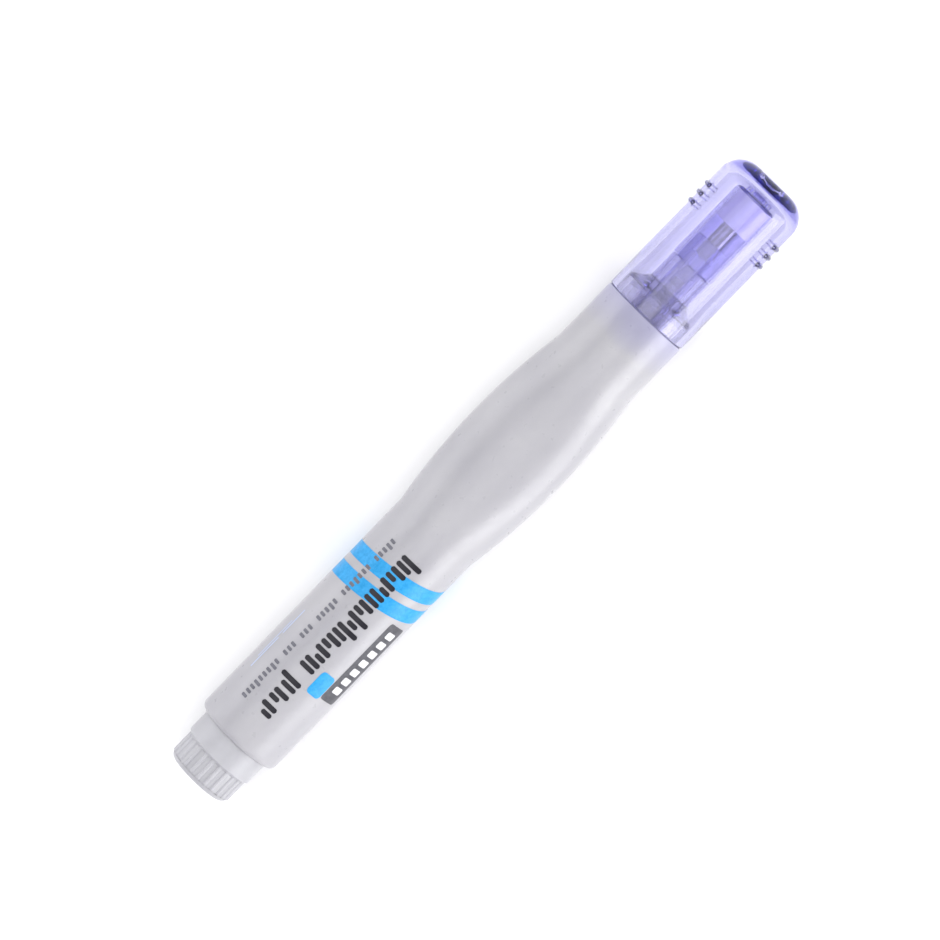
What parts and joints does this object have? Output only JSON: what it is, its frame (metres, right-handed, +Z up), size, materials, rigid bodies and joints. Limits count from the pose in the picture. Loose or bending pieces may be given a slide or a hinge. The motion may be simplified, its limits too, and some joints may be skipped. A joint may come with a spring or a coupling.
{
  "type": "correction fluid pen",
  "caption": "Squeeze-type correction fluid pen with a pinched translucent bottle, sprung needle tip, clear pull-off cap and fluted end plug.",
  "frame": {"origin": "on the surface that the pen lies on, below the middle of its length", "axes": "+X along the pen from the end plug to the cap, +Y across the wide side of the squeeze grip, +Z up, across its pinched side"},
  "size_m": [0.135, 0.0186, 0.0158],
  "materials": {
    "bottle_plastic": "translucent white low-density polyethylene, satin",
    "plug_plastic": "translucent white polyethylene, satin",
    "nozzle_plastic": "translucent violet polypropylene, satin",
    "carrier_plastic": "translucent violet polypropylene, satin",
    "tip_steel": "turned stainless steel",
    "needle_steel": "drawn stainless steel",
    "collar_plastic": "natural acetal",
    "spring_steel": "stainless spring wire",
    "ball_steel": "ground steel ball",
    "cap_plastic": "clear violet-tinted polystyrene, polished",
    "inner_cap_plastic": "translucent violet polypropylene",
    "seal_rubber": "soft thermoplastic rubber"
  },
  "bodies": {
    "bottle": {"bottle": "bottle_plastic", "nozzle_body": "nozzle_plastic", "tip_carrier": "carrier_plastic", "metal_tip": "tip_steel", "spring_retainer": "collar_plastic", "valve_spring": "spring_steel"},
    "cap": {"cap_shell": "cap_plastic", "inner_cap": "inner_cap_plastic", "tip_seal": "seal_rubber"},
    "end_plug": {"end_plug": "plug_plastic"},
    "valve_needle": {"valve_needle": "needle_steel", "needle_collar": "collar_plastic"},
    "agitator_ball": {"agitator_ball": "ball_steel"}
  },
  "joints": [
    {"name": "cap_slide", "type": "slide", "parent": "bottle", "child": "cap", "axis": [1, 0, 0], "range_m": [0, 0.035]},
    {"name": "end_plug_slide", "type": "slide", "parent": "bottle", "child": "end_plug", "axis": [-1, 0, 0], "range_m": [0, 0.012]},
    {"name": "valve_needle_slide", "type": "slide", "parent": "bottle", "child": "valve_needle", "axis": [-1, 0, 0], "range_m": [0, 0.0004], "stiffness_N_per_m": 600, "springref_m": -0.0008, "deforming": ["valve_spring"]},
    {"name": "agitator_ball_slide", "type": "slide", "parent": "bottle", "child": "agitator_ball", "axis": [1, 0, 0], "range_m": [-0.017, 0.0195]}
  ]
}
